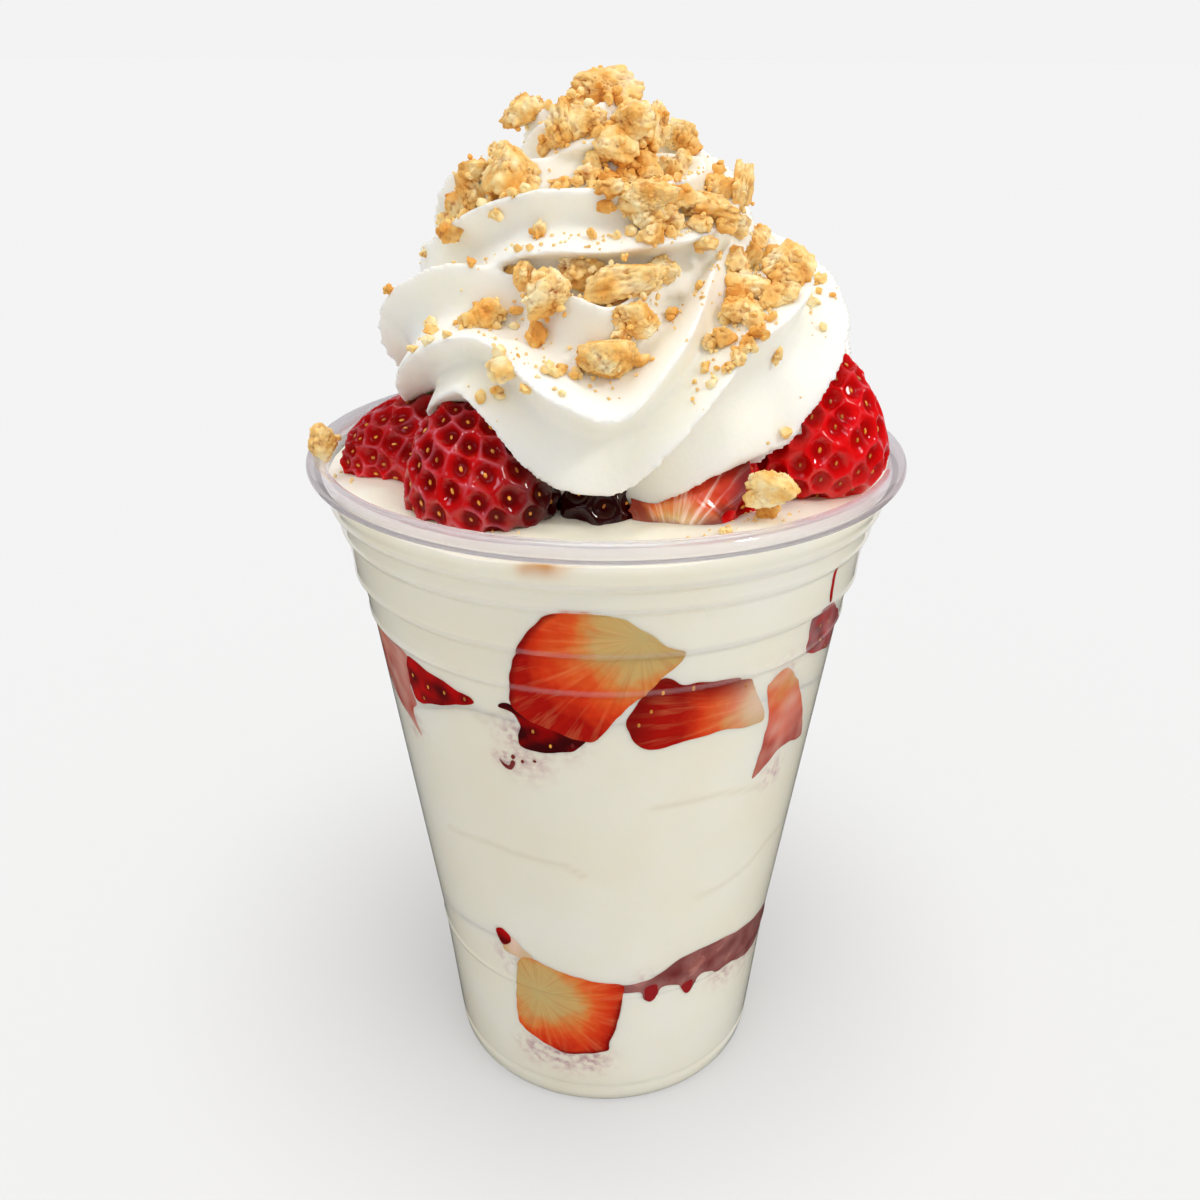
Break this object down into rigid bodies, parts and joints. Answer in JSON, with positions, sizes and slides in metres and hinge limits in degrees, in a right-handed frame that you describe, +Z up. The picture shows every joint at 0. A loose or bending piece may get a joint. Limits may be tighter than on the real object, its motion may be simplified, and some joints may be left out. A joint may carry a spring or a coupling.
{
  "type": "strawberries and cream in a clear tumbler",
  "caption": "Layered strawberries and soft cream in a tall clear plastic tumbler, topped with fresh strawberries, a piped whipped cream swirl and biscuit crumbs.",
  "frame": {"origin": "middle of the tumbler's foot, on the surface it stands on", "axes": "+Z up along the tumbler's axis; -Y is the side that the picture faces; +X to the right of that view"},
  "size_m": [0.098, 0.098, 0.173],
  "materials": {
    "clear_plastic": "clear, glossy, moulded",
    "soft_cream": "soft, satin",
    "whipped_cream": "airy, matt",
    "strawberry_skin": "wet, glossy, pitted with seeds",
    "strawberry_flesh": "wet cut flesh, pale in the middle",
    "chopped_strawberry": "wet, dark, soft",
    "biscuit_crumb": "dry, rough, baked"
  },
  "bodies": {
    "root": {"tumbler": "clear_plastic", "cream_bottom": "soft_cream", "cream_middle": "soft_cream", "cream_top": "soft_cream", "swirl": "whipped_cream", "upper_dark": "strawberry_skin", "upper_left_red": "strawberry_skin", "lower_chip": "strawberry_skin", "top_left": "strawberry_skin", "top_front_left": "strawberry_skin", "top_front_dark": "strawberry_skin", "top_right": "strawberry_skin", "top_back_right": "strawberry_skin", "top_back": "strawberry_skin", "top_back_left": "strawberry_skin", "upper_half": "strawberry_flesh", "upper_wedge": "strawberry_flesh", "upper_left_pale": "strawberry_flesh", "upper_right_pale": "strawberry_flesh", "upper_right_edge": "strawberry_flesh", "upper_right_streak": "strawberry_flesh", "lower_cut": "strawberry_flesh", "upper_back_a": "strawberry_flesh", "upper_back_b": "strawberry_flesh", "upper_back_c": "strawberry_flesh", "upper_back_d": "strawberry_flesh", "upper_back_e": "strawberry_flesh", "upper_back_f": "strawberry_flesh", "lower_back_a": "strawberry_flesh", "lower_back_b": "strawberry_flesh", "lower_back_c": "strawberry_flesh", "top_front_cut": "strawberry_flesh", "lower_chopped": "chopped_strawberry", "upper_chopped": "chopped_strawberry"}
  },
  "joints": []
}
